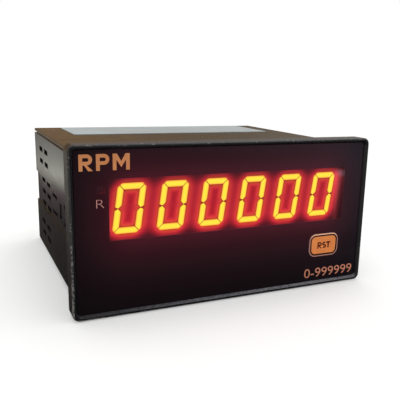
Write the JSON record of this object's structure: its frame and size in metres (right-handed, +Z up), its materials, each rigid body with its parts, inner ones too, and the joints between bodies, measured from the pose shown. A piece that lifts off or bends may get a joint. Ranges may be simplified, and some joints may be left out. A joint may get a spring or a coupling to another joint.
{
  "type": "digital rpm indicator",
  "caption": "Panel-mounted digital rpm indicator with a lit seven-segment display, a reset key, a vented case and rear screw terminals.",
  "frame": {"origin": "centre of the panel seat, the plane of the bezel's back face, on the axis of the case", "axes": "+X to the right as seen from the front, +Y from the front face to the terminals, +Z up"},
  "size_m": [0.096, 0.08, 0.048],
  "materials": {
    "bezel_plastic": "fine textured black moulding",
    "case_plastic": "satin black moulding",
    "cover_plastic": "satin black moulding",
    "overlay_film": "glossy polyester film printed black",
    "filter_acrylic": "dark red tinted acrylic",
    "digit_face": "matt dark face",
    "segment_lit": "lit segment, amber",
    "segment_unlit": "unlit segment",
    "lamp_lens": "unlit red lens",
    "key_plastic": "orange moulding",
    "black_plastic": "black component plastic",
    "cream_plastic": "cream component plastic",
    "terminal_plastic": "green terminal moulding",
    "board_laminate": "green solder mask",
    "tinned_metal": "tinned",
    "plated_steel": "zinc plated",
    "gold_plated": "gold plated pins",
    "spring_bronze": "snap dome",
    "core_steel": "varnished laminations",
    "winding_tape": "yellow polyester tape",
    "sink_aluminium": "extruded",
    "capacitor_sleeve": "dark blue sleeve",
    "resistor_lacquer": "tan lacquer",
    "label_paper": "plain matt label"
  },
  "bodies": {
    "housing": {"front_bezel": "bezel_plastic", "front_overlay": "overlay_film", "display_filter": "filter_acrylic", "digit_1": "digit_face", "digit_2": "digit_face", "digit_3": "digit_face", "digit_4": "digit_face", "digit_5": "digit_face", "digit_6": "digit_face", "lit_segments": "segment_lit", "unlit_segments": "segment_unlit", "digit_pins": "tinned_metal", "indicator_lamp": "lamp_lens", "switch_body": "black_plastic", "switch_cover": "tinned_metal", "switch_dome": "spring_bronze", "display_board": "board_laminate", "display_drivers": "black_plastic", "display_screws": "plated_steel", "case_body": "case_plastic", "top_cover": "cover_plastic", "top_label": "label_paper", "rear_cover": "case_plastic", "rear_screws": "plated_steel", "main_board": "board_laminate", "board_screws": "plated_steel", "board_header": "black_plastic", "header_pins_bent": "gold_plated", "transformer_core": "core_steel", "transformer_winding": "winding_tape", "filter_capacitors": "capacitor_sleeve", "bridge_rectifier": "black_plastic", "heat_sink": "sink_aluminium", "voltage_regulator": "black_plastic", "microcontroller": "black_plastic", "chip_legs": "tinned_metal", "crystal": "tinned_metal", "input_isolator": "cream_plastic", "resistors": "resistor_lacquer", "supply_terminals": "terminal_plastic", "signal_terminals": "terminal_plastic", "wire_clamps": "plated_steel", "terminal_screws": "plated_steel"},
    "key": {"reset_key": "key_plastic", "switch_plunger": "black_plastic"}
  },
  "joints": [
    {"name": "reset_key_press", "type": "slide", "parent": "housing", "child": "key", "axis": [0, 1, 0], "range_m": [0, 0.0003], "stiffness_N_per_m": 3000}
  ]
}
